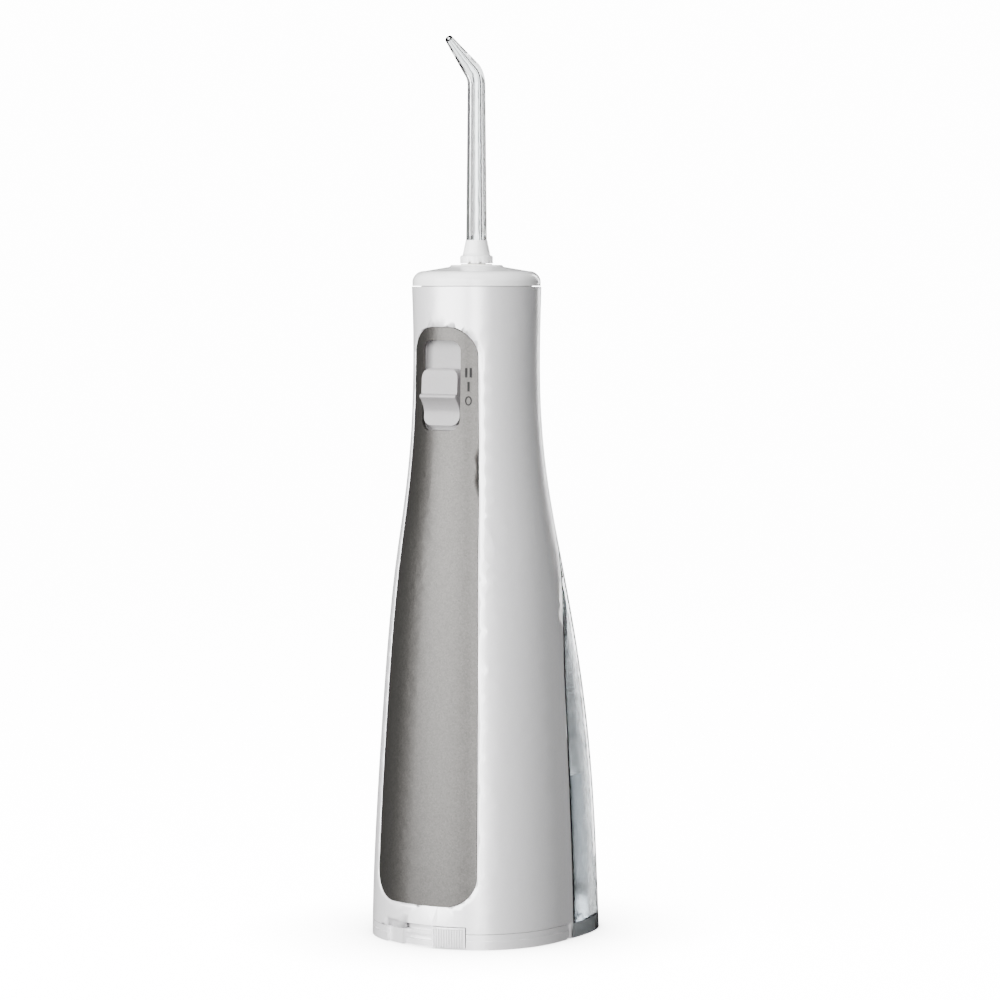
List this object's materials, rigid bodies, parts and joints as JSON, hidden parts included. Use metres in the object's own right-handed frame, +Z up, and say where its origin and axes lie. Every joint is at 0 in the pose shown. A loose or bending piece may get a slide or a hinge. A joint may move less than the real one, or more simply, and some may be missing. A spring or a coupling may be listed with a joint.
{
  "type": "water flosser",
  "caption": "Slim cordless water flosser standing on its flat base, with a front slide switch, a clear rear tank and a bent clear tip.",
  "frame": {"origin": "centre of the footprint, on the surface the base stands on", "axes": "+Z up along the neck, -Y towards the front panel and switch, +Y towards the tank"},
  "size_m": [0.0672, 0.0744, 0.295],
  "materials": {
    "white_body": "pearl white satin",
    "white_gloss": "gloss white",
    "silver_panel": "silver grey metallic paint",
    "light_grey": "light grey satin",
    "clear": "clear moulded plastic",
    "inner_plastic": "moulded",
    "pump_plastic": "moulded acetal",
    "seal_rubber": "moulded rubber",
    "hose_rubber": "silicone",
    "steel": "bright steel",
    "brass": "turned",
    "contact_nickel": "nickel plated",
    "cell_wrap": "printed sleeve",
    "board": "solder resist",
    "chip": "moulded epoxy"
  },
  "bodies": {
    "handle": {"housing": "white_body", "front_panel": "silver_panel", "switch_tray": "light_grey", "circuit_board": "board", "switch_sensors": "chip", "top_cap": "white_gloss", "socket_retainer": "inner_plastic", "outlet_spigot": "inner_plastic", "spigot_seal": "seal_rubber", "outlet_hose": "hose_rubber", "inlet_hose": "hose_rubber", "port_grommet": "seal_rubber", "drive_chassis": "inner_plastic", "chassis_screws": "steel", "motor_can": "steel", "motor_end_cap": "inner_plastic", "motor_screws": "steel", "axle_bush": "brass", "pump_cylinder": "pump_plastic", "cylinder_head": "pump_plastic", "head_screws": "steel", "inlet_valve": "seal_rubber", "outlet_valve": "seal_rubber", "battery_holder": "inner_plastic", "battery_cell_1": "cell_wrap", "battery_cell_2": "cell_wrap", "battery_cell_3": "cell_wrap", "upper_contacts": "contact_nickel", "door_hinge_pin": "steel"},
    "rotor": {"motor_shaft": "steel", "pinion": "brass"},
    "gear_train": {"drive_gear": "pump_plastic", "gear_axle": "steel", "crank_pin": "steel"},
    "rod": {"connecting_rod": "pump_plastic"},
    "plunger": {"piston": "pump_plastic", "piston_seal": "seal_rubber", "wrist_pin": "steel"},
    "socket": {"tip_socket": "pump_plastic", "socket_seal": "seal_rubber"},
    "tip": {"tip_collar": "white_gloss", "tip_tube": "clear"},
    "thumb_slide": {"switch_slider": "light_grey", "slider_magnet": "steel"},
    "reservoir": {"tank": "clear", "tank_base": "clear", "suction_tube": "hose_rubber", "suction_filter": "pump_plastic", "fill_hinge_pin": "steel"},
    "filler": {"fill_door": "clear", "fill_seal": "seal_rubber"},
    "lower_door": {"battery_door": "white_body", "door_seal": "seal_rubber", "contact_strip": "contact_nickel", "contact_springs": "contact_nickel"},
    "latch": {"battery_latch": "white_body"}
  },
  "joints": [
    {"name": "tip_turn", "type": "hinge", "parent": "handle", "child": "socket", "pos_m": [0, -0.00339, 0.21], "axis": [0, 0, 1], "continuous": true},
    {"name": "tip_pull", "type": "slide", "parent": "socket", "child": "tip", "axis": [0, 0, 1], "range_m": [0, 0.022]},
    {"name": "switch_travel", "type": "slide", "parent": "handle", "child": "thumb_slide", "axis": [0, 0, 1], "range_m": [0, 0.0087]},
    {"name": "reservoir_slide", "type": "slide", "parent": "handle", "child": "reservoir", "axis": [0, 0, -1], "range_m": [0, 0.16]},
    {"name": "fill_door_swing", "type": "hinge", "parent": "reservoir", "child": "filler", "pos_m": [0, 0.03361, 0.0604], "axis": [-1, 0, 0], "range_deg": [0, 100]},
    {"name": "battery_door_swing", "type": "hinge", "parent": "handle", "child": "lower_door", "pos_m": [0, -0.00049, 0.0023], "axis": [1, 0, 0], "range_deg": [0, 90]},
    {"name": "latch_slide", "type": "hinge", "parent": "lower_door", "child": "latch", "pos_m": [0, -0.00339, 0.003], "axis": [0, 0, 1], "range_deg": [-20, 0]},
    {"name": "gear_spin", "type": "hinge", "parent": "handle", "child": "gear_train", "pos_m": [0.007, -0.01079, 0.08805], "axis": [1, 0, 0], "continuous": true},
    {"name": "motor_spin", "type": "hinge", "parent": "handle", "child": "rotor", "pos_m": [0.007, -0.01079, 0.073], "axis": [1, 0, 0], "continuous": true},
    {"name": "rod_turn", "type": "hinge", "parent": "gear_train", "child": "rod", "pos_m": [0, -0.01079, 0.08985], "axis": [1, 0, 0], "continuous": true},
    {"name": "piston_travel", "type": "slide", "parent": "handle", "child": "plunger", "axis": [0, 0, 1], "range_m": [-0.0036, 0]}
  ],
  "couplings": [
    {"joint": "motor_spin", "follows": "gear_spin", "ratio": -4},
    {"joint": "rod_turn", "follows": "gear_spin", "ratio": -1}
  ]
}
